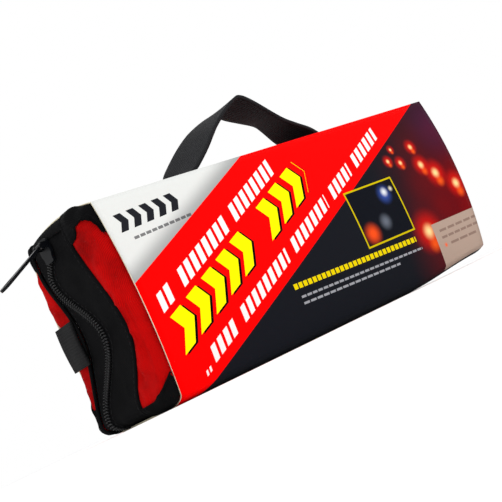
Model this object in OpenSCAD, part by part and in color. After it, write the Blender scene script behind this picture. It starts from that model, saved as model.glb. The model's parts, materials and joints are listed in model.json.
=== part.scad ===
// Road flare kit: a soft zipped bag of six flares in a puffed card sleeve, carried by a webbing loop.
// The frame stands on the sleeve's flat bottom strip. X runs along the kit, -Y is the printed face.

/* [Card sleeve] */
// Length of the sleeve along the kit
sleeve_l = 205; // [170:1:260]
// Depth of the sleeve between its side creases
sleeve_t = 57; // [50:0.5:75]
// Height of the sleeve between its upper and lower creases
sleeve_h = 80; // [70:0.5:110]
// Thickness of the card
card_t = 0.6; // [0.4:0.1:1]
// How far the front and back panels puff out
side_puff = 3.4; // [2:0.1:5]
// How far the top and bottom panels puff out
top_puff = 3.8; // [2:0.1:5]
// Width of the strip that lies flat on the table
rest_w = 36; // [24:1:44]
// Width of the slot that lets the handle through
slot_w = 24; // [22:0.5:30]

/* [Bag] */
// How far the bag stands out of each end of the sleeve
bag_proud = 5; // [3:0.5:10]
// Gap between the bag and the inside of the sleeve
bag_gap = 0.4; // [0.3:0.1:1]
// Thickness of the padded red fabric
shell_t = 1.6; // [1:0.1:2.5]
// Thickness of the zip tape
tape_t = 1; // [0.6:0.1:1.4]
// Radius of the bag's corners
bag_r = 4; // [3:0.5:6]
// Width of the edge binding
binding_w = 1.6; // [1:0.1:2.5]
// Width of the closed coil chain
chain_w = 4.4; // [3:0.1:6]
// Height of the top band's hem down each end, below the upper creases
spine_hem = 1.8; // [1:0.1:4]

/* [Zip pull] */
// Length of the slider
slider_l = 10; // [8:0.5:13]
// Width of the slider
slider_w = 8; // [7.5:0.5:10]
// Thickness of the slider's plate
slider_t = 1.2; // [0.8:0.1:2]
// Gap between the slider's plate and the chain
slider_gap = 0.3; // [0.2:0.1:0.6]
// Length of the pull, from its pin to its tip
pull_l = 26; // [18:1:32]
// Width of the pull at its tip
pull_w = 6.4; // [5:0.2:9]
// Thickness of the pull
pull_t = 1.2; // [0.8:0.1:2]
// How far the pull stands away from hanging straight down, in degrees
pull_lean = 63; // [10:1:80]
// Radius of the pin that the pull turns on
pin_r = 0.6; // [0.4:0.05:0.8]
// Radial running clearance of the pull on its pin
pin_gap = 0.06; // [0.02:0.01:0.1]

/* [Handle] */
// Width of the webbing
webbing_w = 20; // [15:0.5:21]
// Thickness of the webbing
webbing_t = 1.5; // [1:0.1:2]
// Length of each end of the webbing that is sewn down on the bag
sewn_l = 16; // [10:1:22]
// Place along the kit where the left leg leaves the bag
foot_left = -38; // [-45:0.5:-30]
// Place along the kit where the right leg leaves the bag
foot_right = 48; // [40:0.5:58]
// Place of the crease along the kit
crease_x = 9.6; // [0:0.2:18]
// Height of the loop above the sleeve
loop_h = 27.5; // [22:0.5:35]

/* [Flares] */
// Length of a flare with its cap on
flare_l = 203; // [150:1:203]
// Outer diameter of the paper casing
casing_d = 22; // [18:0.1:23]
// Wall of the paper casing
casing_t = 1.5; // [1:0.1:2.5]
// Outer diameter of the cap
cap_d = 24.2; // [22:0.1:25]
// Length of the cap
cap_l = 38; // [25:1:50]
// Thickness of the cap's end
cap_end = 1.6; // [1:0.1:3]
// Length of the plug in the base
plug_l = 14; // [8:1:25]
// Length of the igniter button
igniter_l = 5; // [3:0.5:8]
// Gap between a flare and its neighbour
flare_gap = 0.2; // [0.1:0.1:0.5]
// Gap between the pieces that slide into each other in a flare
fit_gap = 0.1; // [0.05:0.05:0.3]

/* [Hidden] */
FLARES = 6;
FLARE_PIECES = ["casing", "composition", "plug", "igniter", "cap", "striker"];
FLARE_NODES = [for (i = [1:FLARES]) for (piece = FLARE_PIECES) str("flare_", i, "_", piece)];
BAG_NODES = ["card_sleeve", "front_shell", "back_shell", "front_binding", "back_binding", "front_tape",
    "back_tape", "zip_chain", "top_stop", "bottom_stop", "top_spine", "grab_tab", "handle_foot_left",
    "handle_foot_right", "handle_loop", "slider", "pull_tab"];
$fn = 48;
eps = 0.01;

red = "#b50d0d";
black = "#161618";
metal = "#2b2d33";

low_crease = top_puff;               // height of the lower creases above the table
high_crease = low_crease + sleeve_h; // height of the upper creases
top_z = high_crease + top_puff;      // crown of the sleeve's top panel

// Layers of the wrap, as depths in from the outside of the card
shell_out = card_t + bag_gap;
shell_in = shell_out + shell_t;
tape_out = shell_in - tape_t;
bag_x = sleeve_l / 2 + bag_proud + shell_out; // half length of the bag's layers at depth 0
face_x = -(bag_x - shell_out);                // left end face of the bag
spine_z = high_crease - spine_hem;            // lower edge of the top band's hems

// The waves in the end, as [height above the lower crease, place across the depth], top to bottom
chain_wave = [[sleeve_h, 5.5], [sleeve_h - 6, 5.5], [62.5, 12.6], [33, -5.2], [4, 14.5], [-8, 14.5]];
front_wave = [[sleeve_h + 8, -12], [sleeve_h - 4, -12], [30, -23], [3, -11.5], [-8, -11.5]];
back_wave = [[sleeve_h + 8, 22], [sleeve_h - 4, 22], [38, 11], [4, 22], [-8, 22]];
wave_steps = 6; // straight stretches between two turns of a wave

// Line of a wave: cosine eases from one turn to the next
function ease(a, b, t) = [a[0] + (b[0] - a[0]) * t, a[1] + (b[1] - a[1]) * (1 - cos(180 * t)) / 2];
function wave_line(wave) = concat(
    [for (i = [0:len(wave) - 2]) for (k = [0:wave_steps - 1]) ease(wave[i], wave[i + 1], k / wave_steps)],
    [wave[len(wave) - 1]]);
function wave_points(wave, shift) = [for (p = wave_line(wave)) [p[1] + shift, p[0] + low_crease]];
function reversed(list) = [for (i = [len(list) - 1:-1:0]) list[i]];

// Outline of the sleeve in Y and Z, in from the outside of the card by d
arc_steps = 10;
function bow(a, b, puff, t) = // point at share t of a puffed panel from a to b
    let (n = [b[1] - a[1], a[0] - b[0]], u = n / norm(n), c = 2 * t - 1)
    a + (b - a) * t + u * puff * (1 - c * c);
function bottom_curve(side, d) = // from the crease down to the flat strip
    [for (k = [1:arc_steps])
        let (a = 90 * k / arc_steps, run = sleeve_t / 2 - d - rest_w / 2)
        [side * (rest_w / 2 + run * cos(a)), d + (low_crease - d + eps) * (1 - sin(a))]];
function outline(d) =
    let (y = sleeve_t / 2 - d, lo = low_crease, hi = high_crease - d,
         right = [for (k = [0:arc_steps]) bow([y, lo], [y, hi], side_puff, k / arc_steps)],
         top = [for (k = [1:arc_steps]) bow([y, hi], [-y, hi], top_puff, k / arc_steps)],
         left = [for (k = [1:arc_steps]) bow([-y, hi], [-y, lo], side_puff, k / arc_steps)])
    concat(right, top, left, bottom_curve(-1, d), reversed(bottom_curve(1, d)));

module along_x(length) {
    translate([-length / 2, 0, 0]) rotate([90, 0, 90]) linear_extrude(length) children();
}

module rounded(size, r) {
    square([size[0] - 2 * r, size[1]], center = true);
    square([size[0], size[1] - 2 * r], center = true);
    for (sx = [-1, 1]) for (sy = [-1, 1])
        translate([sx * (size[0] / 2 - r), sy * (size[1] / 2 - r)]) circle(r);
}

// The bag's body at depth d under the card, with rounded ends
module bag_layer(d) {
    long = 2 * (bag_x - d);
    deep = sleeve_t + 2 * side_puff - 2 * d;
    tall = top_z - 2 * d;
    r = bag_r + shell_out - d;
    intersection() {
        along_x(long) polygon(outline(d));
        translate([0, 0, -1]) linear_extrude(top_z + 2) rounded([long, deep], max(r, 1) + 2);
        translate([0, deep, top_z / 2]) rotate([90, 0, 0]) linear_extrude(2 * deep)
            rounded([long, tall], max(r, 1));
    }
}

module bag_skin(outer, inner) {
    difference() {
        bag_layer(outer);
        bag_layer(inner);
    }
}

module wave_band(from_wave, from_shift, to_wave, to_shift) {
    along_x(2 * bag_x + 2)
        polygon(concat(wave_points(from_wave, from_shift), reversed(wave_points(to_wave, to_shift))));
}

far = [[sleeve_h + 8, sleeve_t], [-8, sleeve_t]]; // a straight line behind the bag
near = [[sleeve_h + 8, -sleeve_t], [-8, -sleeve_t]]; // and one in front of it

module under_spine() {
    translate([0, 0, spine_z - 2 * sleeve_h]) linear_extrude(2 * sleeve_h)
        square([3 * bag_x, 2 * sleeve_t], center = true);
}

slot_end = 4; // room between the sewn end of the webbing and the slot's closed end
module card_sleeve() {
    color("#c01818") difference() {
        along_x(sleeve_l) polygon(outline(0));
        along_x(sleeve_l + 2) polygon(outline(card_t));
        translate([foot_left - sewn_l - slot_end, -slot_w / 2, top_z - 2 * top_puff])
            cube([2 * sleeve_l, slot_w, 3 * top_puff]);
    }
}

module front_shell() {
    color(red) intersection() {
        bag_skin(shell_out, shell_in);
        wave_band(near, 0, front_wave, 0);
    }
}

module back_shell() {
    color(red) intersection() {
        bag_skin(shell_out, shell_in);
        wave_band(back_wave, 0, far, 0);
    }
}

module front_binding() {
    color(black) intersection() {
        bag_skin(shell_out, shell_in);
        wave_band(front_wave, 0, front_wave, binding_w);
    }
}

module back_binding() {
    color(black) intersection() {
        bag_skin(shell_out, shell_in);
        wave_band(back_wave, -binding_w, back_wave, 0);
    }
}

module front_tape() {
    color(black) intersection() {
        bag_skin(tape_out, shell_in);
        wave_band(front_wave, binding_w, chain_wave, -chain_w / 2);
        under_spine();
    }
}

module back_tape() {
    color(black) intersection() {
        bag_skin(tape_out, shell_in);
        wave_band(chain_wave, chain_w / 2, back_wave, -binding_w);
        under_spine();
    }
}

stop_l = 2; // length of the stops at the chain's two ends
module chain_solid() {
    intersection() {
        bag_skin(shell_out, shell_in);
        wave_band(chain_wave, -chain_w / 2, chain_wave, chain_w / 2);
        under_spine();
    }
}

module stop_zone(side) {
    translate([side > 0 ? 0 : -2 * bag_x, -sleeve_t, spine_z - stop_l])
        cube([2 * bag_x, 2 * sleeve_t, sleeve_h]);
}

module zip_chain() {
    color(black) difference() {
        chain_solid();
        stop_zone(-1);
        stop_zone(1);
    }
}

module top_stop() {
    color(metal) intersection() {
        chain_solid();
        stop_zone(-1);
    }
}

module bottom_stop() {
    color(metal) intersection() {
        chain_solid();
        stop_zone(1);
    }
}

module top_spine() {
    color(black) intersection() {
        bag_skin(shell_out, shell_in);
        wave_band(front_wave, binding_w, back_wave, -binding_w);
        translate([0, 0, spine_z]) linear_extrude(sleeve_h)
            square([3 * bag_x, 2 * sleeve_t], center = true);
    }
}

grab_size = [1.2, 12.5, 19]; // the tab's thickness, depth and height
grab_low = [12, 26];       // its lower front corner, across the depth and above the lower crease
module grab_tab() {
    color(black) translate([face_x - grab_size[0], grab_low[0], low_crease + grab_low[1]]) cube(grab_size);
}

// The loop of webbing: its two ends lie sewn on the top band, and its legs meet in a soft crease
strap_z = top_z - shell_out + webbing_t / 2; // middle of the webbing where it lies on the bag
loop_z = top_z + loop_h - webbing_t / 2;     // middle of the webbing at the crease
crease = [crease_x, loop_z];
leg_steps = 12;
left_leg = [[foot_left, strap_z], [foot_left + 6, strap_z + 5.5], crease - [17.6, 3.5], crease];
right_leg = [crease, crease + [10.4, -5.5], [foot_right - 14, strap_z + 12.5], [foot_right, strap_z]];
function bezier(p, t) =
    pow(1 - t, 3) * p[0] + 3 * t * pow(1 - t, 2) * p[1] + 3 * t * t * (1 - t) * p[2] + pow(t, 3) * p[3];
function slope(p, t) =
    let (d = pow(1 - t, 2) * (p[1] - p[0]) + 2 * t * (1 - t) * (p[2] - p[1]) + t * t * (p[3] - p[2]))
    d / norm(d);
function beside(point, along, side) = point + side * webbing_t / 2 * [-along[1], along[0]];
function leg_side(leg, side, from, to) =
    [for (k = [from:to]) beside(bezier(leg, k / leg_steps), slope(leg, k / leg_steps), side)];
over_crease = (slope(left_leg, 1) + slope(right_leg, 0)) / norm(slope(left_leg, 1) + slope(right_leg, 0));
function loop_side(side) = concat(
    leg_side(left_leg, side, 0, leg_steps - 1),
    [beside(crease, over_crease, side)],
    leg_side(right_leg, side, 1, leg_steps));

module handle_loop() {
    color(black) rotate([90, 0, 0]) linear_extrude(webbing_w, center = true)
        polygon(concat(loop_side(1), reversed(loop_side(-1))));
}

module sewn_end(foot, side) {
    color(black) translate([foot + side * (webbing_t + sewn_l) / 2, 0, strap_z])
        cube([sewn_l, webbing_w, webbing_t], center = true);
}

module handle_foot_left() {
    sewn_end(foot_left, -1);
}

module handle_foot_right() {
    sewn_end(foot_right, 1);
}

// Slider: a plate over the chain, with two cheeks that hold the pull's pin
slider_y = chain_wave[1][1];
slider_z = low_crease + chain_wave[1][0];
plate_x = face_x - slider_gap - slider_t; // outer face of the plate
cheek_r = 1.4;
barrel_r = 1.2;
barrel_l = 4;
cheek_t = 1;
pin_x = plate_x - cheek_r - 0.2;
pin_z = slider_z + 2.4;
module slider() {
    color(metal) translate([0, slider_y, 0]) {
        translate([plate_x, 0, slider_z]) rotate([90, 0, 90]) linear_extrude(slider_t)
            difference() {
                rounded([slider_w, slider_l], 2);
                for (s = [-1, 1]) translate([s * (slider_w / 2 + 2.2), -slider_l / 2 + 1.5]) circle(3);
            }
        for (s = [-1, 1]) translate([0, s * (barrel_l / 2 + pin_gap + cheek_t / 2), 0])
            rotate([90, 0, 0]) linear_extrude(cheek_t, center = true) {
                translate([pin_x, pin_z]) circle(cheek_r);
                translate([pin_x, pin_z - cheek_r]) square([plate_x - pin_x + eps, 2 * cheek_r]);
            }
        translate([pin_x, 0, pin_z]) rotate([90, 0, 0])
            cylinder(r = pin_r, h = barrel_l + 2 * cheek_t, center = true);
    }
}

module pull_tab() {
    neck_w = barrel_l - 1;
    color(metal) translate([pin_x, slider_y, pin_z]) rotate([0, pull_lean, 0]) {
        difference() {
            union() {
                rotate([90, 0, 0]) cylinder(r = barrel_r, h = barrel_l, center = true);
                translate([0, 0, -pull_l]) rotate([90, 0, 90]) linear_extrude(pull_t, center = true)
                    difference() {
                        union() {
                            translate([0, pull_w / 2]) circle(pull_w / 2);
                            polygon([[-pull_w / 2, pull_w / 2], [pull_w / 2, pull_w / 2],
                                [neck_w / 2, pull_l], [-neck_w / 2, pull_l]]);
                        }
                        for (y = [pull_w / 2, pull_w]) translate([0, y]) circle(pull_w / 5);
                        translate([-pull_w / 5, pull_w / 2]) square([2 * pull_w / 5, pull_w / 2]);
                    }
            }
            rotate([90, 0, 0]) cylinder(r = pin_r + pin_gap, h = pull_w * 2, center = true);
        }
    }
}

// Flares: three high and two deep, caps towards the zip's end, each resting on the one below
module at_flare(i) {
    row = floor((i - 1) / 2);
    side = i % 2 == 0 ? 1 : -1;
    pitch = cap_d + flare_gap;
    translate([-flare_l / 2, side * pitch / 2, shell_in + flare_gap + cap_d / 2 + row * pitch])
        rotate([0, 90, 0]) children();
}
bore_r = casing_d / 2 - casing_t;
striker_t = 1.4;
lip_h = 1.2;
casing_from = cap_end + lip_h + igniter_l;     // where the casing's mouth lies along the flare
fill_l = flare_l - casing_from - plug_l - fit_gap;

module flare_casing(i) {
    color("#b8312a") at_flare(i) translate([0, 0, casing_from]) difference() {
        cylinder(d = casing_d, h = flare_l - casing_from);
        translate([0, 0, -1]) cylinder(r = bore_r, h = flare_l);
    }
}

module flare_composition(i) {
    color("#8c8478") at_flare(i) translate([0, 0, casing_from]) cylinder(r = bore_r - fit_gap, h = fill_l);
}

module flare_plug(i) {
    color("#cbb089") at_flare(i) translate([0, 0, flare_l - plug_l])
        difference() {
            cylinder(r = bore_r - fit_gap, h = plug_l);
            translate([0, 0, plug_l - 3]) cylinder(r = bore_r - 3, h = 4);
        }
}

module flare_igniter(i) {
    dome = 1.5;
    color("#3a3230") at_flare(i) translate([0, 0, casing_from - igniter_l + dome]) {
        cylinder(r = bore_r - 1, h = igniter_l - dome);
        translate([0, 0, -dome]) cylinder(r = bore_r - 3, h = dome);
    }
}

module flare_cap(i) {
    color("#d8d2c4") at_flare(i) difference() {
        cylinder(d = cap_d, h = cap_l);
        translate([0, 0, cap_end + lip_h]) cylinder(r = casing_d / 2 + fit_gap, h = cap_l);
        translate([0, 0, -1]) cylinder(r = bore_r, h = 1 + striker_t);
    }
}

module flare_striker(i) {
    color("#57302a") at_flare(i) translate([0, 0, lip_h / 4])
        cylinder(r = bore_r - fit_gap, h = striker_t - lip_h / 4);
}

card_sleeve();
front_shell();
back_shell();
front_binding();
back_binding();
front_tape();
back_tape();
zip_chain();
top_stop();
bottom_stop();
top_spine();
grab_tab();
handle_foot_left();
handle_foot_right();
handle_loop();
slider();
pull_tab();
for (i = [1:FLARES]) {
    flare_casing(i);
    flare_composition(i);
    flare_plug(i);
    flare_igniter(i);
    flare_cap(i);
    flare_striker(i);
}
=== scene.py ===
# Road flare kit: soft zipped bag, puffed card sleeve and webbing loop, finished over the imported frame.
import json
import math

import bmesh
import bpy
from mathutils import Matrix, Vector, noise


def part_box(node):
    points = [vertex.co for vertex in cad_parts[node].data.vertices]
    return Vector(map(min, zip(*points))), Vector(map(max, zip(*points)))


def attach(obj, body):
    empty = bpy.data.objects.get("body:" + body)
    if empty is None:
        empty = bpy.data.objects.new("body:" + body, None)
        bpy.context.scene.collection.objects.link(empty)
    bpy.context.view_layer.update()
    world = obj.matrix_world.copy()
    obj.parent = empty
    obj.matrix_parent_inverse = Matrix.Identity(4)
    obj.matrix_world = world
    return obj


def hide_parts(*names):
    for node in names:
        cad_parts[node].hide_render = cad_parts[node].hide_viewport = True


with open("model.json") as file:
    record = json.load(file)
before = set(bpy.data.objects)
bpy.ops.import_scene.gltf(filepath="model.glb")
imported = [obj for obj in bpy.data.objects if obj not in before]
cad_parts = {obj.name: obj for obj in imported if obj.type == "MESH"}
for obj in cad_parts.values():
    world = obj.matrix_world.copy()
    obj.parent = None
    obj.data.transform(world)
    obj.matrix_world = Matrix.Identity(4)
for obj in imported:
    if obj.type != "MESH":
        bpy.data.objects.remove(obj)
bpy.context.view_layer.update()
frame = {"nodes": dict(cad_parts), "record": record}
MM = 0.001

# ---- Sizes in millimetres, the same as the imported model's ----
LOW, HIGH = 3.8, 83.8            # lower and upper creases of the sleeve
MIDDLE_Z = (LOW + HIGH) / 2
HALF_L, HALF_T = 102.5, 28.5     # half length and half depth of the sleeve
SIDE_PUFF, TOP_PUFF = 3.4, 3.8
REST = 18.0                      # half width of the strip that lies flat
CARD = 0.6
BAG_X = 108.5                    # half length of the bag's layers at depth 0
CORNER = 4.0
SHELL, TAPE = 1.0, 1.6           # depths of the fabric's and the tape's outer faces
PIPING_W, CHAIN_W = 1.6, 4.4
SLOT_FROM, SLOT_HALF = -58.0, 12.0
LOOP_FROM, LOOP_TO = -38, 48     # where the webbing loop leaves its sewn ends
SEWN = 16                        # length of each sewn end
CHAIN_WAVE = [(80, 5.5), (74, 5.5), (62.5, 12.6), (33, -5.2), (4, 14.5), (-8, 14.5)]
FRONT_WAVE = [(88, -12), (76, -12), (30, -23), (3, -11.5), (-8, -11.5)]
BACK_WAVE = [(88, 22), (76, 22), (38, 11), (4, 22), (-8, 22)]

# ---- Sizes of the soft shapes, in millimetres ----
FRONT_ROUND, BACK_ROUND, FAR_ROUND = 6.0, 12.0, 14.0  # rounding of the ends' upright corners
BULGE, BACK_SAG, FAR_SAG = 2.2, 2.2, 4.6              # how far the ends swell out and sag in
CLEAR_FROM = 103.2                                    # half length past which the bag is clear of the card
FAR_CURL = 3.6                                        # rise of the far end's lower edge
CUT_OUT, CUT_IN = 0.9, 5.4                            # askew cut of the card's far end: out above, in below
CLOTH, PIPING, TAPE_CLOTH, HEM = 1.2, 0.8, 0.8, 0.9   # thickness of each layer of cloth
STRAP, STRAP_HALF = 1.5, 10                           # thickness and half width of the loop


# ---- Shapes of the bag ----
def wave_y(wave, height):
    """Place across the depth of a seam at a height above the lower creases."""
    for (h0, y0), (h1, y1) in zip(wave, wave[1:]):
        if height >= h1:
            t = min(max((h0 - height) / (h0 - h1), 0), 1)
            return y0 + (y1 - y0) * (1 - math.cos(math.pi * t)) / 2
    return wave[-1][1]


def top_at(y, d):
    """Height of the crowned top of the layer at depth d."""
    return HIGH - d + TOP_PUFF * (1 - min(abs(y) / (HALF_T - d), 1) ** 2)


def bottom_at(y, d):
    """Height of the underside, flat in its middle and rounded up to the creases."""
    run = HALF_T - d - REST
    c = min(max((abs(y) - REST) / run, 0), 1)
    return d + (LOW - d) * (1 - math.sqrt(1 - c * c))


def side_puff(z, d):
    """How far a large side stands out past its creases."""
    c = 2 * (z - LOW) / (HIGH - d - LOW) - 1
    return SIDE_PUFF * max(1 - c * c, 0)


def end_at(y, d, right=False):
    near_round = BACK_ROUND if y > 0 else FRONT_ROUND
    r = FAR_ROUND if right else near_round
    over = max(abs(y) - (HALF_T + SIDE_PUFF - d - r), 0)
    return BAG_X - d - (r - math.sqrt(max(r * r - over * over, 0)))


def soft_step(value, low, high):
    """0 below low, 1 above high, and smooth between them."""
    t = min(max((value - low) / (high - low), 0), 1)
    return t * t * (3 - 2 * t)


def swell(y, z, right=False):
    """How far an end is pushed out, low down at the zip, or sags in at its loose corners."""
    if right:
        return -FAR_SAG * soft_step(-y, 6, 27) * soft_step(44 - z, 0, 36)
    bulge = BULGE * math.exp(-((z - LOW - 1) / 9) ** 2)
    return bulge - BACK_SAG * soft_step(y, 8, 27) * soft_step(z, 60, 84)


def stations(n_end=44, n_long=56, n_arc=6):
    """Stations round the bag's side profile: the left end, the bottom, the right end and the top."""
    out = []
    for seg, n in (("left", n_end), ("arc1", n_arc), ("bottom", n_long), ("arc2", n_arc),
                   ("right", n_end), ("arc3", n_arc), ("top", n_long), ("arc4", n_arc)):
        out += [(seg, k / n) for k in range(n)]
    return out


def place(station, y, d):
    """Point and outward direction of the bag's face at depth d, at a station and a place across."""
    seg, q = station
    right = seg in ("arc2", "right", "arc3")
    x1, zt, zb = end_at(y, d, right), top_at(y, d), bottom_at(y, d)
    r = max(CORNER + SHELL - d, 1.5)
    quarter = {"arc1": (-x1 + r, zb + r, 180), "arc2": (x1 - r, zb + r, 270),
               "arc3": (x1 - r, zt - r, 0), "arc4": (-x1 + r, zt - r, 90)}
    if seg in quarter:
        cx, cz, a0 = quarter[seg]
        a = math.radians(a0 + 90 * q)
        n = Vector((math.cos(a), 0, math.sin(a)))
        p = Vector((cx, y, cz)) + r * n
        p.x += n.x * abs(n.x) * swell(y, p.z, right)
        return p, n
    if seg == "left":
        z = zt - r + (zb - zt + 2 * r) * q
        return Vector((-x1 - swell(y, z), y, z)), Vector((-1, 0, 0))
    if seg == "right":
        z = zb + r + (zt - zb - 2 * r) * q
        return Vector((x1 + swell(y, z, True), y, z)), Vector((1, 0, 0))
    if seg == "bottom":
        return Vector((-x1 + r + (x1 + end_at(y, d, True) - 2 * r) * q, y, zb)), Vector((0, 0, -1))
    x2 = end_at(y, d, True)
    return Vector((x2 - r - (x2 + x1 - 2 * r) * q, y, zt)), Vector((0, 0, 1))


def seam_y(station, wave, shift):
    """Place across the depth of a seam at a station, moved sideways by shift."""
    y = wave_y(wave, place(station, 0, SHELL)[0].z - LOW) + shift
    return wave_y(wave, place(station, y, SHELL)[0].z - LOW) + shift


def at_height(z, y, d):
    """Station on the left end at a height."""
    zt, zb = top_at(y, d), bottom_at(y, d)
    r = max(CORNER + SHELL - d, 1.5)
    return ("left", min(max((zt - r - z) / (zt - zb - 2 * r), 0), 1))


def free_end(x):
    """0 under the card, 1 on the zip's end where the bag stands clear of it, less on the other."""
    return min(max((abs(x) - CLEAR_FROM) / 2.0, 0), 1 if x < 0 else 0.4)


def cloth_lift(p, t):
    """How far the red cloth stands out between its seam, t = 0, and the crease, t = 1."""
    folds = creases(p, 1.7) * soft_step(t, 0.02, 0.22) * soft_step(1 - t, 0, 0.2)
    return max(free_end(p.x) * (1.1 * math.sin(math.pi * min(t * 1.15, 1)) + folds), -0.9)


def creases(p, seed):
    """Small folds of cloth, as a height in millimetres."""
    along = Vector((p.x * 0.4, p.y * 0.7 + p.z * 0.5, p.z * 0.9 - p.y * 0.5))
    q = along / 9 + Vector((seed, seed * 2, 0))
    ridge = 1 - 2 * abs(noise.noise(q))
    return 1.5 * (ridge - 0.8) + 0.5 * noise.noise(q * 2.3)


def flank(p, inset, side):
    """Point on a side face of the bag, at a distance in from its rim point p."""
    rim, middle = Vector((p.x, 0, p.z)), Vector((min(max(p.x, -66), 66), 0, MIDDLE_Z))
    m = rim + (middle - rim) * min(inset / max((middle - rim).length, 1), 0.97)
    bulge = math.sqrt(1 - (1 - min(inset / 13, 1)) ** 2)
    return Vector((m.x, side * (HALF_T - SHELL + side_puff(m.z, SHELL) * bulge), m.z))


# ---- Mesh makers ----
def mesh_object(name, points, faces, uvs, materials, outward):
    """A smooth mesh from points in millimetres, its faces turned to the direction outward gives."""
    mesh = bpy.data.meshes.new(name)
    mesh.from_pydata([tuple(p * MM) for p in points], [], faces)
    layer = mesh.uv_layers.new(name="UVMap")
    for loop in mesh.loops:
        layer.data[loop.index].uv = [c * MM for c in uvs[loop.vertex_index]]
    for material in materials:
        mesh.materials.append(material)
    mesh.update()
    lean = sum(f.normal.dot(outward(f.center / MM)) * f.area for f in mesh.polygons)
    if lean < 0:
        mesh.flip_normals()
    for f in mesh.polygons:
        f.use_smooth = True
    obj = bpy.data.objects.new(name, mesh)
    bpy.context.scene.collection.objects.link(obj)
    return obj


def away_from_middle(c):
    """Rough outward direction at a place c, to turn a sheet's faces the right way."""
    side = Vector((0, c.y / 28, 0)) if abs(c.y) > 24 else Vector()
    end = Vector((math.copysign(1, c.x), 0, 0)) if abs(c.x) > 100 else Vector()
    return side + end + Vector((0, 0, (c.z - 44) / 40))


def far_rise(p):
    """How far the far end's lower edge curls up off the ground."""
    low = min(max(1 - p.z / 84.0, 0), 1)
    return FAR_CURL * soft_step(p.x, 40, 104) * low ** 2


def sheet_mesh(name, rows, materials, loop=False, outward=away_from_middle, lowest=0.15):
    """A sheet through rows of points, with its own run lengths as UV.

    loop joins each row's ends, and no point comes nearer the ground than lowest.
    """
    n = len(rows[0])
    points = [Vector((p.x, p.y, max(p.z, lowest) + far_rise(p))) for row in rows for p in row]
    along = [[0.0] for _ in rows]
    for row, run in zip(rows, along):
        for a, b in zip(row, row[1:]):
            run.append(run[-1] + (b - a).length)
    across = [[0.0] * n]
    for a, b in zip(rows, rows[1:]):
        across.append([t + (q - p).length for t, p, q in zip(across[-1], a, b)])
    mid = along[len(along) // 2]
    uvs = [(mid[k], across[i][k]) for i in range(len(rows)) for k in range(n)]
    last = n if loop else n - 1
    faces = [(i * n + k, i * n + (k + 1) % n, (i + 1) * n + (k + 1) % n, (i + 1) * n + k)
             for i in range(len(rows) - 1) for k in range(last)]
    return mesh_object(name, points, faces, uvs, materials, outward)


def thicken(obj, thickness, offset=-1.0, inner=0, rim=0):
    """Give a sheet a thickness, inwards at offset -1; inner and rim place its new faces' materials."""
    m = obj.modifiers.new("thickness", "SOLIDIFY")
    m.thickness, m.offset = thickness * MM, offset
    m.material_offset, m.material_offset_rim = inner, rim
    return obj


def band(name, wave_a, shift_a, wave_b, shift_b, depth, crown, across, materials, ring, wrinkle=0.0):
    """A strip of the bag between two seams, standing crown out in its middle."""
    rows = []
    for j in range(across + 1):
        t, row = j / across, []
        for st in ring:
            ya, yb = seam_y(st, wave_a, shift_a), seam_y(st, wave_b, shift_b)
            p, n = place(st, ya + (yb - ya) * t, depth)
            lift = crown * math.sqrt(max(1 - (2 * t - 1) ** 2, 0))
            if wrinkle:
                lift += wrinkle * free_end(p.x) * creases(p, 3.1) * math.sin(math.pi * t)
            row.append(p + n * lift)
        rows.append(row)
    return sheet_mesh(name, rows, materials)


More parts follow.
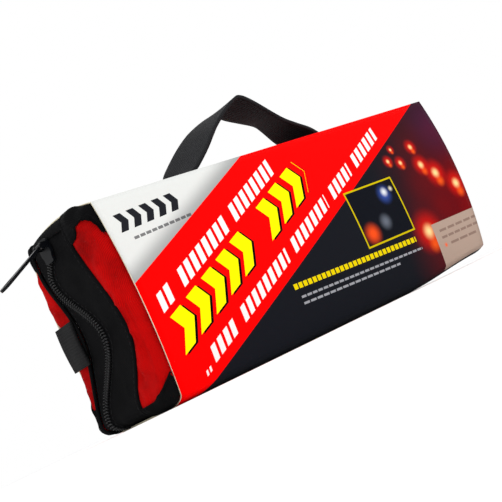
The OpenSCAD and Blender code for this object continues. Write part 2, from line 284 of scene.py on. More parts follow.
# ---- Materials ----
class Finish:
    """A material under way: its tree, and short ways to make the nodes it needs."""

    def __init__(self, name, roughness, coat=0.0, specular=0.5):
        self.material = bpy.data.materials.new(name)
        self.material.use_nodes = True
        self.tree = self.material.node_tree
        self.shader = self.tree.nodes["Principled BSDF"]
        self.shader.inputs["Roughness"].default_value = roughness
        self.shader.inputs["Coat Weight"].default_value = coat
        self.shader.inputs["Specular IOR Level"].default_value = specular
        self.coords = self.tree.nodes.new("ShaderNodeTexCoord")
        self.cached = {}

    def link(self, value, socket):
        if hasattr(value, "is_output"):
            self.tree.links.new(value, socket)
        else:
            socket.default_value = value

    def math(self, operation, a, b=0.0, c=0.0):
        node = self.tree.nodes.new("ShaderNodeMath")
        node.operation = operation
        for value, socket in zip((a, b, c), node.inputs):
            self.link(value, socket)
        return node.outputs[0]

    def times(self, a, b):
        return self.math("MULTIPLY", a, b)

    def axes(self, source):
        """The three coordinates, in millimetres."""
        if source not in self.cached:
            node = self.tree.nodes.new("ShaderNodeSeparateXYZ")
            self.tree.links.new(self.coords.outputs[source], node.inputs[0])
            self.cached[source] = [self.times(o, 1 / MM) for o in node.outputs]
        return self.cached[source]

    def noise(self, scale, detail=3.0):
        node = self.tree.nodes.new("ShaderNodeTexNoise")
        node.inputs["Scale"].default_value = scale
        node.inputs["Detail"].default_value = detail
        node.inputs["Roughness"].default_value = 0.55
        self.tree.links.new(self.coords.outputs["Object"], node.inputs["Vector"])
        return node.outputs["Fac"]

    def ramp(self, value, low, high, to_low=0.0, to_high=1.0):
        """A smooth step in a value between low and high."""
        node = self.tree.nodes.new("ShaderNodeMapRange")
        node.interpolation_type = "SMOOTHSTEP"
        for v, s in zip((value, low, high, to_low, to_high), node.inputs):
            self.link(v, s)
        return node.outputs[0]

    def mix(self, factor, a, b):
        """Colour a, turning to colour b where the factor is 1."""
        node = self.tree.nodes.new("ShaderNodeMix")
        node.data_type = "RGBA"
        self.link(factor, node.inputs["Factor"])
        self.link_colour(a, node.inputs[6])
        self.link_colour(b, node.inputs[7])
        return node.outputs[2]

    def link_colour(self, value, socket):
        self.link(value if hasattr(value, "is_output") else (*value, 1.0), socket)

    def colour(self, value):
        self.link_colour(value, self.shader.inputs["Base Color"])

    def bump(self, height, distance):
        node = self.tree.nodes.new("ShaderNodeBump")
        node.inputs["Distance"].default_value = distance * MM
        self.link(height, node.inputs["Height"])
        self.tree.links.new(node.outputs[0], self.shader.inputs["Normal"])

    def waves(self, value, pitch):
        """A wave from 0 to 1 that repeats every pitch."""
        s = self.math("SINE", self.times(value, 2 * math.pi / pitch))
        return self.math("MULTIPLY_ADD", s, 0.5, 0.5)


def woven(name, dark, light, pitch, diagonal, depth, roughness=0.85):
    """Woven cloth: diagonal or square threads, with blotches of painted shade in the colour for the shade of
    folds, and a little relief of folds.
    """
    f = Finish(name, roughness, specular=0.05)
    u, v, _ = f.axes("UV")
    if diagonal:
        a = f.waves(f.math("ADD", u, f.times(v, 0.8)), pitch)
        b = f.waves(f.math("SUBTRACT", u, v), pitch * 0.62)
        thread = f.math("MULTIPLY_ADD", b, 0.35, f.times(a, 0.65))
    else:
        thread = f.times(f.waves(u, pitch), f.math("MULTIPLY_ADD", f.waves(v, pitch), 0.5, 0.5))
    # Painted shade: soft noise blotches darken the colour to stand for the shade in the cloth's folds
    painted_fold_shade = f.math("MULTIPLY_ADD", f.ramp(f.noise(60, 4), 0.25, 0.62), 0.6, 0.4)
    f.colour(f.mix(f.times(f.math("MULTIPLY_ADD", thread, 0.5, 0.5), painted_fold_shade), dark, light))
    folds = f.times(f.noise(110, 3), 0.25 / depth)
    f.bump(f.math("ADD", thread, folds), depth)
    return f.material


def webbing_finish(name, dark, light):
    """Ribbed webbing: ribs along the strap, crossed by its picks."""
    f = Finish(name, 0.75, specular=0.15)
    u, v, _ = f.axes("UV")
    rib = f.waves(v, 1.3)
    pick = f.waves(f.math("ADD", u, f.times(rib, 0.4)), 0.9)
    cloth = f.times(f.math("MULTIPLY_ADD", rib, 0.6, 0.4), f.math("MULTIPLY_ADD", pick, 0.5, 0.5))
    f.colour(f.mix(f.times(cloth, f.ramp(f.noise(80), 0.2, 0.8, 0.6, 1.0)), dark, light))
    f.bump(cloth, 0.25)
    return f.material


def plain_finish(name, dark, light, roughness, scale=90, depth=0.05, **shader):
    """A finish with uneven tone and a little relief."""
    f = Finish(name, roughness, **shader)
    n = f.noise(scale, 4)
    f.colour(f.mix(f.ramp(n, 0.3, 0.7), dark, light))
    f.bump(f.noise(scale * 6, 3), depth)
    return f.material


# ---- The card's print, laid out in millimetres along and up the large panels ----
RED_INK, YELLOW_INK = (0.95, 0.0, 0.0), (1.0, 0.92, 0.0)
BLACK_INK, WHITE_INK = (0.001, 0.001, 0.0015), (0.86, 0.86, 0.85)
BAND_LOW, BAND_HIGH = 40.6, 93.9  # edges of the slanting band, as height over its slant
PRINT_FROM = 25.5                 # half depth beyond which the large panels' print runs
# Glows: place along, height and radius
GLOWS = ((63.9, 64.8, 3), (58.1, 59.8, 4), (65.6, 57.2, 4.5), (77.7, 62.9, 5), (78.2, 52.9, 7),
         (85.2, 46.9, 9), (95.9, 38.6, 9), (62.8, 22.1, 13))
# Rules: from, to, lower edge, upper edge, pitch and share of the pitch that is inked
PANEL_RULES = ((70, 99, 19.6, 20.8, 6.5, 0.8), (70, 99, 16.2, 17.4, 5.1, 0.82),
               (75, 96, 12.4, 13.6, 7.3, 0.85))
TITLE_RULE = (-30, 52, 21.2, 23.6, 2.9, 0.76)
FOOT_RULES = ((-28, 54, 17.0, 18.0, 3.4, 0.8), (-28, 36, 14.2, 15.2, 4.1, 0.82))
UPPER_DASHES = [(a, b, 76.5, 84.0, 4.3, 0.66) for a, b in ((-96, -87.5), (-82, -48.5), (-43.5, -11))]
LOWER_DASHES = [(-88, -84, 44.5, 46.5, 2.0, 0.5)]
LOWER_DASHES += [(a, b, 45.2, 51.6, 4.2, 0.64)
                 for a, b in ((-82, -66), (-61, -26), (-21, 9), (14, 32), (37, 60))]
BIG_CHEVRONS = [(a, b, 58, 73.5, 10.6, 0.62) for a, b in ((-90, -38), (-26, 6))]


class CardPrint(Finish):
    """The print as masks and colours worked out from the place on the card."""

    def __init__(self):
        super().__init__("printed_card", 0.5, specular=0.02)
        self.x, self.y, self.z = self.axes("Object")
        self.slant = self.math("SUBTRACT", self.z, self.times(self.x, 0.447))
        self.foot = self.math("ADD", self.z, self.times(self.x, 0.022))
        self.lean = self.math("SUBTRACT", self.z, self.times(self.x, 0.06))

    def between(self, value, low, high):
        off = self.math("ABSOLUTE", self.math("SUBTRACT", value, (low + high) / 2))
        return self.math("LESS_THAN", off, (high - low) / 2)

    def box(self, x0, x1, low, high, rise):
        return self.times(self.between(self.x, x0, x1), self.between(rise, low, high))

    def any_of(self, masks):
        out = masks[0]
        for mask in masks[1:]:
            out = self.math("MAXIMUM", out, mask)
        return out

    def dashes(self, rules, rise):
        """Rows of dashes, at a height measured along rise."""
        masks = []
        for x0, x1, low, high, pitch, share in rules:
            step = self.math("FRACT", self.math("DIVIDE", self.math("SUBTRACT", self.x, x0), pitch))
            masks.append(self.times(self.box(x0, x1, low, high, rise), self.math("LESS_THAN", step, share)))
        return self.any_of(masks)

    def chevrons(self, rules, rise, aside=0.0, up=0.0):
        """Rows of pointed bars, moved aside and up for a shade."""
        masks = []
        for x0, x1, low, high, pitch, share in rules:
            bend = self.math("ABSOLUTE", self.math("SUBTRACT", rise, (low + high) / 2 + up))
            run = self.math("ADD", self.math("SUBTRACT", self.x, x0 + aside), self.times(bend, 0.55))
            step = self.math("FRACT", self.math("DIVIDE", run, pitch))
            begun, ended = self.math("GREATER_THAN", run, 0.0), self.math("LESS_THAN", run, x1 - x0)
            tall = self.math("LESS_THAN", bend, (high - low) / 2)
            inked = self.math("LESS_THAN", step, share)
            masks.append(self.times(self.times(self.times(begun, ended), tall), inked))
        return self.any_of(masks)

    def spot(self, cx, cz, r):
        """A soft round spot, 1 in its middle."""
        along = self.math("POWER", self.math("SUBTRACT", self.x, cx), 2.0)
        up = self.math("POWER", self.math("SUBTRACT", self.z, cz), 2.0)
        return self.ramp(self.math("SQRT", self.math("ADD", along, up)), 0.0, r, 1.0, 0.0)

    def night_scene(self):
        """Near black, warming to dark red towards the far end, with soft glows."""
        warm = self.times(self.ramp(self.x, 40.0, 105.0), self.ramp(self.z, 84.0, 30.0, 0.2, 1.0))
        out = self.mix(warm, (0.008, 0.009, 0.013), (0.13, 0.001, 0.004))
        out = self.mix(self.times(self.spot(101, 70, 24), 0.55), out, (0.06, 0.012, 0.05))
        smoke = self.times(self.ramp(self.noise(24, 2), 0.4, 0.7), self.times(warm, 0.5))
        out = self.mix(smoke, out, (0.24, 0.002, 0.002))
        for cx, cz, r in GLOWS:
            halo = self.times(self.spot(cx, cz, r), 0.85)
            trail = self.times(self.spot(cx + r * 0.08, cz - r * 0.5, r * 0.42), 0.8)
            core = self.math("POWER", self.spot(cx, cz, r * 0.42), 1.3)
            out = self.mix(halo, out, (0.8, 0.008, 0.002))
            out = self.mix(trail, out, (0.95, 0.11, 0.01))
            out = self.mix(core, out, (1.0, 0.72, 0.3))
        return out

    def with_rules(self, out):
        """The dark part with its pale panel, and plain rules where the real card is lettered."""
        out = self.mix(self.box(65.8, 108, -3.0, 24.4, self.z), out, (0.42, 0.31, 0.25))
        out = self.mix(self.times(self.dashes(PANEL_RULES, self.z), 0.6), out, (0.16, 0.09, 0.07))
        out = self.mix(self.spot(71, 13.0, 1.6), out, (0.9, 0.12, 0.03))
        out = self.mix(self.dashes([TITLE_RULE], self.foot), out, (0.8, 0.62, 0.0))
        return self.mix(self.times(self.dashes(FOOT_RULES, self.foot), 0.7), out, (0.45, 0.46, 0.5))

    def inset_scene(self):
        """The framed inset's dim scene: soft spots only."""
        out = self.mix(self.times(self.spot(45, 46, 6), 0.9), (0.005, 0.006, 0.01), (0.04, 0.09, 0.4))
        out = self.mix(self.spot(45.5, 47, 3.0), out, (0.75, 0.78, 0.8))
        out = self.mix(self.spot(50.5, 47.5, 1.8), out, (0.7, 0.66, 0.5))
        out = self.mix(self.spot(27, 31, 6.5), out, (0.95, 0.08, 0.01))
        return self.mix(self.times(self.spot(38, 34, 5), 0.35), out, (0.35, 0.4, 0.5))

    def slanting_band(self):
        """Red, with white dashes above and below yellow chevrons that have a black shade."""
        out = self.mix(self.dashes(UPPER_DASHES, self.slant), RED_INK, WHITE_INK)
        out = self.mix(self.dashes(LOWER_DASHES, self.slant), out, WHITE_INK)
        out = self.mix(self.chevrons(BIG_CHEVRONS, self.slant, 1.2, -0.9), out, BLACK_INK)
        return self.mix(self.chevrons(BIG_CHEVRONS, self.slant), out, YELLOW_INK)

    def pale_corner(self):
        """Pale card, shaded along the band, with dark chevrons over a row of small dashes."""
        shade = self.ramp(self.slant, BAND_HIGH, 103.0)
        out = self.mix(shade, (0.36, 0.365, 0.36), (0.7, 0.71, 0.69))
        marks = self.chevrons([(-95, -63, 74.0, 81.6, 6.6, 0.56)], self.lean)
        out = self.mix(marks, out, (0.014, 0.015, 0.019))
        small = self.times(self.dashes([(-93, -62, 69.6, 70.8, 3.1, 0.8)], self.lean), 0.8)
        return self.mix(small, out, (0.05, 0.05, 0.055))


def printed_card():
    """The sleeve's printed face: a slanting red band between a pale corner and a dark night scene."""
    f = CardPrint()
    over_low = f.math("GREATER_THAN", f.slant, BAND_LOW)
    over_high = f.math("GREATER_THAN", f.slant, BAND_HIGH)
    upper = f.mix(over_high, f.slanting_band(), f.pale_corner())
    face = f.mix(over_low, f.with_rules(f.night_scene()), upper)
    # The inset lies over the band's edge
    face = f.mix(f.box(20.6, 54.2, 25.4, 52.8, f.z), face, (0.6, 0.47, 0.0))
    face = f.mix(f.box(21.4, 53.4, 26.2, 52.0, f.z), face, f.inset_scene())
    # The narrow panels carry plain colour on from the large ones
    plain = f.mix(over_low, (0.01, 0.011, 0.015), f.mix(over_high, RED_INK, (0.66, 0.67, 0.65)))
    large = f.math("GREATER_THAN", f.math("ABSOLUTE", f.y), PRINT_FROM)
    f.colour(f.mix(large, plain, face))
    f.bump(f.noise(420, 3), 0.02)
    return f.material


red_cloth = woven("red_fabric", (0.05, 0.0002, 0.0002), (0.6, 0.0015, 0.0015), 0.75, True, 0.12)
tape_cloth = woven("zip_tape", (0.0015, 0.0015, 0.0018), (0.0055, 0.0055, 0.006), 0.8, True, 0.1, 0.9)
binding_cloth = woven("black_binding", (0.001, 0.001, 0.0012), (0.005, 0.005, 0.0055), 0.7, False, 0.1, 0.9)
strap_cloth = webbing_finish("black_webbing", (0.0015, 0.0015, 0.002), (0.021, 0.022, 0.025))
tab_cloth = webbing_finish("black_tab", (0.0012, 0.0012, 0.0015), (0.006, 0.006, 0.007))
thread = plain_finish("sewing_thread", (0.004, 0.004, 0.0045), (0.011, 0.011, 0.012), 0.7, 300, specular=0.15)
coil_plastic = plain_finish("zip_coil", (0.004, 0.004, 0.0045), (0.012, 0.012, 0.013), 0.36, 200, 0.02,
                            specular=0.3)
enamel = plain_finish("dark_metal", (0.001, 0.0012, 0.0018), (0.003, 0.0035, 0.005), 0.36, 60, 0.01,
                      specular=0.1)
card_inside = plain_finish("card_inside", (0.42, 0.38, 0.32), (0.55, 0.5, 0.43), 0.85, 160)
card_edge = plain_finish("card_edge", (0.6, 0.54, 0.38), (0.8, 0.74, 0.56), 0.9, 300)
card_print = printed_card()
flare_finishes = {
    "flare_paper": plain_finish("flare_paper", (0.4, 0.02, 0.015), (0.56, 0.035, 0.025), 0.5, 70, coat=0.2),
    "flare_fill": plain_finish("flare_fill", (0.3, 0.27, 0.23), (0.5, 0.46, 0.4), 0.9, 400),
    "flare_plug": plain_finish("flare_plug", (0.5, 0.4, 0.28), (0.66, 0.55, 0.42), 0.9, 250),
    "flare_igniter": plain_finish("flare_igniter", (0.03, 0.024, 0.02), (0.08, 0.06, 0.05), 0.8, 300),
    "flare_cap": plain_finish("flare_cap", (0.7, 0.66, 0.56), (0.82, 0.78, 0.7), 0.4, 60),
    "flare_striker": plain_finish("flare_striker", (0.12, 0.04, 0.03), (0.22, 0.08, 0.06), 0.95, 600, 0.1),
}
node_finishes = {"dark_metal": enamel, **flare_finishes}
for sub in frame["record"]["subparts"]:
    if sub["material_slot"] in node_finishes:
        node = frame["nodes"][sub["node"]]
        node.data.materials.clear()
        node.data.materials.append(node_finishes[sub["material_slot"]])


# ---- Card sleeve ----
def sleeve_outline():
    """Outline of the card in Y and Z from the front's lower crease, up and over, then underneath."""
    n, out = 26, []
    puffs = [(k / n, SIDE_PUFF * (1 - (2 * k / n - 1) ** 2)) for k in range(n)]
    out += [(-HALF_T - puff, LOW + (HIGH - LOW) * t) for t, puff in puffs]
    edges = [round(-HALF_T + 2 * HALF_T * k / n, 3) for k in range(n)]
    edges = sorted({e for e in edges if abs(abs(e) - SLOT_HALF) > 1} | {-SLOT_HALF, SLOT_HALF})
    out += [(e, HIGH + TOP_PUFF * (1 - (e / HALF_T) ** 2)) for e in edges]
    out += [(HALF_T + puff, HIGH - (HIGH - LOW) * t) for t, puff in puffs]
    run = HALF_T - REST
    curve = [(REST + run * math.cos(math.radians(a)), LOW * (1 - math.sin(math.radians(a))))
             for a in range(0, 100, 10)]
    out += curve[:-1]
    out += [(REST - 2 * REST * k / 6, 0.0) for k in range(6)]
    out += [(-y, z) for y, z in reversed(curve[1:])]
    return out


def card_x(x, y, z):
    """The card's far end is cut and bent a little askew, most at its lower front corner."""
    low = max(1 - (z - LOW) / (HIGH - LOW), 0)
    return x + soft_step(x, 60, HALF_L) * (CUT_OUT - CUT_IN * low ** 1.6) * (0.5 - y / (2 * HALF_T + 8))


def in_slot(middle):
    """Whether a face's middle lies in the slot that lets the loop pass."""
    return middle.x > SLOT_FROM * MM and abs(middle.y) < SLOT_HALF * MM and middle.z > HIGH * MM


outline = sleeve_outline()
xs = sorted({-HALF_L + 2 * HALF_L * k / 64 for k in range(65)} | {SLOT_FROM})
rows = [[Vector((card_x(x, y, z), y, z)) for y, z in outline] for x in xs]
sleeve = sheet_mesh("sleeve_card", rows, [card_print, card_inside, card_edge], loop=True, lowest=0)
shell = bmesh.new()
shell.from_mesh(sleeve.data)
slot_faces = [f for f in shell.faces if in_slot(f.calc_center_median())]
bmesh.ops.delete(shell, geom=slot_faces, context="FACES")
shell.to_mesh(sleeve.data)
shell.free()
thicken(sleeve, CARD, inner=1, rim=2)
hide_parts("card_sleeve")
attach(sleeve, "sleeve")

# ---- Red fabric halves of the bag ----
ring = stations()


def fabric_half(name, wave, side, node):
    """A dish of cloth: from its seam over the end, bottom and top, then across its own side."""
    rows = []
    for j in range(11):
        t, row = j / 10, []
        for st in ring:
            y0 = seam_y(st, wave, 0)
            p, n = place(st, y0 + (side * (HALF_T - SHELL) - y0) * t, SHELL)
            row.append(p + n * cloth_lift(p, t))
        rows.append(row)
    rim = rows[-1]
    for inset in (0.6, 1.6, 3, 5, 9, 16, 26, 36, 42):
        rows.append([flank(p, inset, side) for p in rim])
    obj = sheet_mesh(name, [r + [r[0]] for r in rows], [red_cloth])
    mesh = bmesh.new()
    mesh.from_mesh(obj.data)
    bmesh.ops.remove_doubles(mesh, verts=mesh.verts, dist=0.02 * MM)
    open_edges = [e for e in mesh.edges if e.is_boundary]
    middle_edges = [e for e in open_edges
                    if abs(e.verts[0].co.y) > 27.6 * MM and abs(e.verts[0].co.x) < 90 * MM]
    bmesh.ops.holes_fill(mesh, edges=middle_edges, sides=0)
    mesh.to_mesh(obj.data)
    mesh.free()
    thicken(obj, CLOTH)
    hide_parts(node)
    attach(obj, "bag")


fabric_half("front_fabric", FRONT_WAVE, -1, "front_shell")
fabric_half("back_fabric", BACK_WAVE, 1, "back_shell")


# ---- Bindings, zip tapes and the top band ----
def soft_band(name, node, slot_name, thickness, *args, **kw):
    """A band of the bag with its thickness, in place of a CAD node."""
    obj = thicken(band(name, *args, **kw), thickness)
    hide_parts(node)
    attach(obj, "bag")


closed_ring = ring + [ring[0]]
low_ring = [st for st in ring if st[0] in ("left", "arc1", "bottom", "arc2", "right")]
top_ring = [("right", 0.985)] + [st for st in ring if st[0] in ("arc3", "top", "arc4")]
top_ring += [("left", 0.0), ("left", 0.015)]
TUCK = 0.2                          # how far each band's edge goes under its neighbour
piping_edge = PIPING_W + TUCK
chain_edge = CHAIN_W / 2 - 0.6
soft_band("front_piping", "front_binding", "black_binding", PIPING,
          FRONT_WAVE, -0.3, FRONT_WAVE, piping_edge, SHELL, 0.9, 8, [binding_cloth], closed_ring)
soft_band("back_piping", "back_binding", "black_binding", PIPING,
          BACK_WAVE, -piping_edge, BACK_WAVE, 0.3, SHELL, 0.9, 8, [binding_cloth], closed_ring)
soft_band("front_zip_tape", "front_tape", "zip_tape", TAPE_CLOTH,
          FRONT_WAVE, PIPING_W - TUCK, CHAIN_WAVE, -chain_edge, TAPE, 0.35, 12,
          [tape_cloth], low_ring, wrinkle=0.5)
soft_band("back_zip_tape", "back_tape", "zip_tape", TAPE_CLOTH,
          CHAIN_WAVE, chain_edge, BACK_WAVE, -PIPING_W + TUCK, TAPE, 0.25, 8,
          [tape_cloth], low_ring, wrinkle=0.3)
soft_band("top_band", "top_spine", "zip_tape", TAPE_CLOTH,
          FRONT_WAVE, PIPING_W - TUCK, BACK_WAVE, -PIPING_W + TUCK, SHELL, 0.0, 16,
          [tape_cloth], top_ring)


# ---- Corner hems: black cloth that is partly painted shade in the dark gaps at the end's corners ----
HEM_ACROSS, HEM_DOWN, HEM_ARC = 24, 12, 7  # steps across an end, along it and round its corner
# Where the hem goes on round the side: distance in from the rim, and rise of its free edge there
FLANK_RUN = ((0.7, 0.8), (1.6, 1.4), (3, 0.6), (4.6, -4), (6.5, -9), (8, -10))


def hem_height(edges, t):
    """Height of the free edge at a share t across, eased from point to point."""
    (t0, h0), (t1, h1) = next(pair for pair in zip(edges, edges[1:]) if t <= pair[1][0])
    return h0 + (h1 - h0) * (1 - math.cos(math.pi * (t - t0) / (t1 - t0))) / 2


def hem_and_painted_shade_row(side, wave, edges, upper, t):
    """Points of a hem, partly painted shade, from its free edge round the end's corner, at a share t from
    seam to rim.
    """
    height, rim_y, y0 = hem_height(edges, t), side * (HALF_T - SHELL), wave_y(wave, edges[0][1])
    y_free, y_seam = y0 + (rim_y - y0) * t, wave_y(wave, height)
    t_free = (y_free - y_seam) / (rim_y - y_seam)
    start = at_height(LOW + height, y_free, SHELL)[1]
    stop, arc, arc_stop, limit = (0, "arc4", 0, 82) if upper else (1, "arc1", 1, 0)
    run = []
    for i in range(HEM_DOWN + 1):
        q = i / HEM_DOWN
        y_here = wave_y(wave, height + (limit - height) * q)
        y = y_here + (rim_y - y_here) * (t_free + (t - t_free) * q)
        run.append((("left", start + (stop - start) * q), y))
    for i in range(1, HEM_ARC + 1):
        q = i / HEM_ARC
        run.append(((arc, q if arc_stop else 1 - q), y))
    row = []
    for i, (station, y) in enumerate(run):
        p, n = place(station, y, SHELL)
        row.append(p + n * (max(cloth_lift(p, t), 0) + (0.35 if i == 0 else 0.75)))
    return row


def corner_hem_and_painted_shade(name, side, wave, edges, upper):
    """Black cloth sewn over a corner of an end, which also paints in shade where the corner falls dark beside
    the card: edges are (share across, height) along its free edge.
    """
    rows = [hem_and_painted_shade_row(side, wave, edges, upper, k / HEM_ACROSS) for k in range(HEM_ACROSS + 1)]
    rim = rows[-1]
    for inset, rise in FLANK_RUN:
        rises = [rise * max(1 - i / HEM_DOWN, 0) if upper else 0 for i in range(len(rim))]
        rows.append([flank(p, inset, side) + Vector((0, side * 0.3, r)) for p, r in zip(rim, rises)])
    obj = thicken(sheet_mesh(name, rows, [binding_cloth]), HEM)
    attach(obj, "bag")


# Painted shade: these black hems also darken the gaps where the bag's rounded corners sit in shadow beside
# the card's sharp ones
corner_hem_and_painted_shade("upper_corner_hem", -1, FRONT_WAVE, [(0, 69.5), (1, 76.0)], True)
corner_hem_and_painted_shade("lower_corner_hem", -1, FRONT_WAVE, [(0, 0.3), (0.6, 1.5), (1, 3.5)], False)
corner_hem_and_painted_shade("lower_back_hem_and_painted_shade", 1, BACK_WAVE, [(0, 9.0), (1, 14.0)], False)
corner_hem_and_painted_shade("upper_back_hem_and_painted_shade", 1, BACK_WAVE, [(0, 70.0), (1, 74.0)], True)


# ---- Rows of beads: stitches and the coils of the zip ----
def bead_row_tree(material):
    """Small balls along a path, each turned to the path and to its outward direction."""
    tree = bpy.data.node_groups.new("bead_row_" + material.name, "GeometryNodeTree")
    tree.interface.new_socket("Path", in_out="INPUT", socket_type="NodeSocketGeometry")
    for label in ("Pitch", "Length", "Width", "Height", "Turn"):
        s = tree.interface.new_socket(label, in_out="INPUT", socket_type="NodeSocketFloat")
        s.default_value = 0.0 if label == "Turn" else MM
    tree.interface.new_socket("Beads", in_out="OUTPUT", socket_type="NodeSocketGeometry")
    new, link = tree.nodes.new, tree.links.new
    given, out = new("NodeGroupInput"), new("NodeGroupOutput")
    curve, even = new("GeometryNodeMeshToCurve"), new("GeometryNodeResampleCurve")
    even.mode = "LENGTH"
    link(given.outputs["Path"], curve.inputs["Mesh"])
    link(curve.outputs[0], even.inputs["Curve"])
    link(given.outputs["Pitch"], even.inputs["Length"])
    ball, size = new("GeometryNodeMeshUVSphere"), new("ShaderNodeCombineXYZ")
    shape = new("GeometryNodeTransform")
    ball.inputs["Segments"].default_value, ball.inputs["Rings"].default_value = 8, 5
    ball.inputs["Radius"].default_value = 0.5
    for label, socket in (("Length", 0), ("Width", 1), ("Height", 2)):
        link(given.outputs[label], size.inputs[socket])
    link(ball.outputs["Mesh"], shape.inputs["Geometry"])
    link(size.outputs[0], shape.inputs["Scale"])
    tangent, up = new("GeometryNodeInputTangent"), new("GeometryNodeInputNamedAttribute")
    up.data_type = "FLOAT_VECTOR"
    up.inputs["Name"].default_value = "out"
    first, second = new("FunctionNodeAlignRotationToVector"), new("FunctionNodeAlignRotationToVector")
    first.axis, second.axis, second.pivot_axis = "X", "Z", "X"
    link(tangent.outputs[0], first.inputs["Vector"])
    link(first.outputs[0], second.inputs["Rotation"])
    link(up.outputs[0], second.inputs["Vector"])
    put = new("GeometryNodeInstanceOnPoints")
    turn, spin = new("ShaderNodeCombineXYZ"), new("GeometryNodeRotateInstances")
    link(even.outputs[0], put.inputs["Points"])
    link(shape.outputs[0], put.inputs["Instance"])
    link(second.outputs[0], put.inputs["Rotation"])
    link(given.outputs["Turn"], turn.inputs[2])
    link(put.outputs[0], spin.inputs["Instances"])
    link(turn.outputs[0], spin.inputs["Rotation"])
    real, round_off = new("GeometryNodeRealizeInstances"), new("GeometryNodeSetShadeSmooth")
    paint = new("GeometryNodeSetMaterial")
    paint.inputs["Material"].default_value = material
    link(spin.outputs[0], real.inputs[0])
    link(real.outputs[0], round_off.inputs[0])
    link(round_off.outputs[0], paint.inputs["Geometry"])
    link(paint.outputs[0], out.inputs[0])
    return tree


def bead_row(name, tree, path, pitch, length, width, height, turn=0.0):
    """Beads along a path of (point, outward direction), all in millimetres."""
    mesh = bpy.data.meshes.new(name)
    points = [(p.x * MM, p.y * MM, (p.z + far_rise(p)) * MM) for p, _ in path]
    mesh.from_pydata(points, [(i, i + 1) for i in range(len(path) - 1)], [])
    out = mesh.attributes.new("out", "FLOAT_VECTOR", "POINT")
    for item, (_, n) in zip(out.data, path):
        item.vector = n
    guide = bpy.data.objects.new(name + "_path", mesh)
    bpy.context.scene.collection.objects.link(guide)
    m = guide.modifiers.new("beads", "NODES")
    m.node_group = tree
    sizes = {"Pitch": pitch, "Length": length, "Width": width, "Height": height, "Turn": turn}
    for item in tree.interface.items_tree:
        if item.item_type == "SOCKET" and item.in_out == "INPUT" and item.name in sizes:
            m[item.identifier] = sizes[item.name] * (1 if item.name == "Turn" else MM)
    graph = bpy.context.evaluated_depsgraph_get()
    done = bpy.data.meshes.new_from_object(guide.evaluated_get(graph))
    bpy.data.objects.remove(guide)
    obj = bpy.data.objects.new(name, done)
    bpy.context.scene.collection.objects.link(obj)
    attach(obj, "bag")
    return obj


def seam_path(wave, shift, lift, depth=SHELL):
    """A path beside a seam, from the left end under the bag to the right end."""
    path = []
    for st in low_ring:
        p, n = place(st, seam_y(st, wave, shift), depth)
        path.append((p + n * lift, n))
    return path


coil_beads, stitch_beads = bead_row_tree(coil_plastic), bead_row_tree(thread)
for word, side in (("front", -1), ("back", 1)):
    coil = bead_row("zip_coil_" + word, coil_beads, seam_path(CHAIN_WAVE, side * 0.95, 0.1),
                    1.25, 0.72, 1.9, 1.3, side * 0.3)
    if word == "front":
        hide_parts("zip_chain")
bed_edge = CHAIN_W / 2 + 0.4
zip_bed = thicken(band("zip_bed", CHAIN_WAVE, -bed_edge, CHAIN_WAVE, bed_edge, TAPE, 0.3, 6,
                       [tape_cloth], low_ring), 0.6)
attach(zip_bed, "bag")
for label, wave, shift, lift in (
        ("front_tape_stitches", FRONT_WAVE, PIPING_W + 1.6, 0.35),
        ("back_tape_stitches", BACK_WAVE, -PIPING_W - 1.6, 0.3),
        ("front_chain_stitches", CHAIN_WAVE, -CHAIN_W / 2 - 1.2, 0.45),
        ("back_chain_stitches", CHAIN_WAVE, CHAIN_W / 2 + 1.2, 0.35)):
    bead_row(label, stitch_beads, seam_path(wave, shift, lift, TAPE), 2.6, 1.9, 0.32, 0.26)

# ---- Grab tab ----
TAB_SINK = 1.9  # how far the folded tab lies inside its CAD box's outer face
tab_lo, tab_hi = ([c / MM for c in corner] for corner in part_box("grab_tab"))
tab_rows = []
for j in range(11):
    t, row = j / 10, []
    for k in range(13):
        q = k / 12
        z = tab_lo[2] + (tab_hi[2] - tab_lo[2]) * t
        y = tab_lo[1] - 2 + (tab_hi[1] - tab_lo[1] + 2.5) * q
        curl = 0.5 * math.sin(math.pi * t) + 0.2 * math.sin(5 * q + 2 * t) - 0.9 * q * q
        row.append(Vector((tab_hi[0] - TAB_SINK - curl, y, z)))
    tab_rows.append(row)
tab = thicken(sheet_mesh("grab_tab_webbing", tab_rows, [tab_cloth]), 1.1)
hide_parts("grab_tab")
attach(tab, "bag")

NEAR = [(LOOP_FROM, 87.0), (-34.2, 87.9), (-30, 89.9), (-21, 96.2), (-14.2, 101.8), (-9.9, 105.2),
        (-2, 110.2), (4, 113.4), (8.4, 115.2), (10.6, 115.3), (13.6, 113.9), (18.4, 109.9),
        (25.7, 102.8), (31, 98.4), (37.5, 94.6), (43.5, 91.2), (LOOP_TO, 87.0)]
FAR = [(LOOP_FROM, 87.0), (-35.6, 91.2), (-33.0, 94.6), (-21.7, 102.9), (-11.9, 108.6), (-4, 111.8),
       (2.5, 113.8), (6.5, 114.6), (9.2, 114.6), (11.4, 113.8), (15.5, 111.6), (22, 108.9),
       (30.0, 105.4), (33.4, 101.6), (37.7, 94.8), (42, 90.2), (LOOP_TO, 87.0)]
SEWN_Z, STITCH_Z = 86.9, 87.85   # heights of the sewn ends and of their stitches


def eased(points, n):
    """n points along a smooth curve through the given ones."""
    out, last = [], len(points) - 1
    for i in range(n):
        s = i / (n - 1) * last
        k = min(int(s), last - 1)
        t = s - k
        p0, p1, p2, p3 = (Vector(points[min(max(j, 0), last)]) for j in (k - 1, k, k + 1, k + 2))
        square, cube = 2 * p0 - 5 * p1 + 4 * p2 - p3, 3 * p1 - p0 - 3 * p2 + p3
        out.append(0.5 * (2 * p1 + (p2 - p0) * t + square * t * t + cube * t ** 3))
    return out


def with_sewn_ends(edge, n=12):
    """An edge of the loop with its two ends, which lie flat on the top band."""
    left = [Vector((LOOP_FROM - SEWN + SEWN * i / n, SEWN_Z)) for i in range(n)]
    right = [Vector((LOOP_TO + SEWN * (i + 1) / n, SEWN_Z)) for i in range(n)]
    return left + edge + right


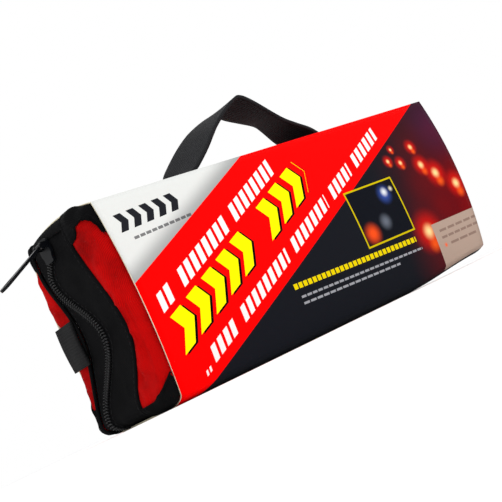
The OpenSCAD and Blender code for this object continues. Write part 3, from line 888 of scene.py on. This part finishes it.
def sewn_box(middle, half_l=6, half_w=8.2, n=8):
    """Path of the stitches that hold an end: a box and its two diagonals."""
    a, b, c, d = ((middle + i * half_l, j * half_w) for i, j in ((-1, -1), (1, -1), (1, 1), (-1, 1)))
    stops = [a, b, c, d, a, c, d, b]
    path = []
    for (x0, y0), (x1, y1) in zip(stops, stops[1:]):
        path += [(Vector((x0 + (x1 - x0) * i / n, y0 + (y1 - y0) * i / n, STITCH_Z)), Vector((0, 0, 1)))
                 for i in range(n)]
    return path


near, far = (with_sewn_ends(eased(edge, 97)) for edge in (NEAR, FAR))
loop_rows = []
for j in range(15):
    t = j / 14
    y = STRAP_HALF * (2 * t - 1)
    loop_rows.append([Vector((a.x + (b.x - a.x) * t, y, a.y + (b.y - a.y) * t)) for a, b in zip(near, far)])
strap = sheet_mesh("webbing_loop", loop_rows, [strap_cloth],
                   outward=lambda c: Vector(((c.x - 8) / 40, 0, 1)))
thicken(strap, STRAP, offset=0.0)
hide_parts("handle_loop", "handle_foot_left", "handle_foot_right")
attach(strap, "bag")
for word, middle in (("left", LOOP_FROM - SEWN / 2), ("right", LOOP_TO + SEWN / 2)):
    bead_row("box_stitches_" + word, stitch_beads, sewn_box(middle), 2.3, 1.7, 0.4, 0.3)

# ---- Floor, light and camera ----
world = bpy.data.worlds.new("studio")
bpy.context.scene.world = world
world.use_nodes = True
world.node_tree.nodes["Background"].inputs["Color"].default_value = (1, 1, 1, 1)
world.node_tree.nodes["Background"].inputs["Strength"].default_value = 1.0
floor_mesh = bpy.data.meshes.new("floor")
FLOOR = 8  # metres from the middle to an edge
floor_corners = [(-FLOOR, -FLOOR, 0), (FLOOR, -FLOOR, 0), (FLOOR, FLOOR, 0), (-FLOOR, FLOOR, 0)]
floor_mesh.from_pydata(floor_corners, [], [(0, 1, 2, 3)])
floor = bpy.data.objects.new("floor", floor_mesh)
bpy.context.scene.collection.objects.link(floor)
floor_finish = Finish("pale_floor", 0.9)
floor_finish.colour((0.95, 0.95, 0.95))
floor_mesh.materials.append(floor_finish.material)


def area_light(name, place_at, aim, size, watts):
    """A square lamp at a place in metres, turned to its aim."""
    data = bpy.data.lights.new(name, "AREA")
    data.shape, data.size, data.energy = "SQUARE", size, watts
    lamp = bpy.data.objects.new(name, data)
    lamp.location = place_at
    lamp.rotation_euler = (Vector(aim) - Vector(place_at)).to_track_quat("-Z", "Y").to_euler()
    bpy.context.scene.collection.objects.link(lamp)


KIT_MIDDLE = (0, 0, 0.05)
area_light("key", (-0.7, -0.7, 1.1), KIT_MIDDLE, 0.8, 5)
area_light("fill", (0.6, -1.2, 0.5), KIT_MIDDLE, 0.9, 2)

camera_data = bpy.data.cameras.new("camera")
camera_data.lens, camera_data.sensor_width = 80.27, 36
camera_data.clip_start, camera_data.clip_end = 0.0005, 50
camera = bpy.data.objects.new("camera", camera_data)
CAMERA_AT, CAMERA_AHEAD, CAMERA_UP = (-0.3433, -0.3742, 0.0012), (0.656, 0.749, 0.093), (0.273, -0.350, 0.896)
ahead = Vector(CAMERA_AHEAD).normalized()
aside = ahead.cross(Vector(CAMERA_UP)).normalized()
turned = Matrix((aside, aside.cross(ahead), -ahead)).transposed().to_4x4()
camera.matrix_world = Matrix.Translation(CAMERA_AT) @ turned
bpy.context.scene.collection.objects.link(camera)
bpy.context.scene.camera = camera
bpy.context.scene.view_settings.view_transform = "Standard"
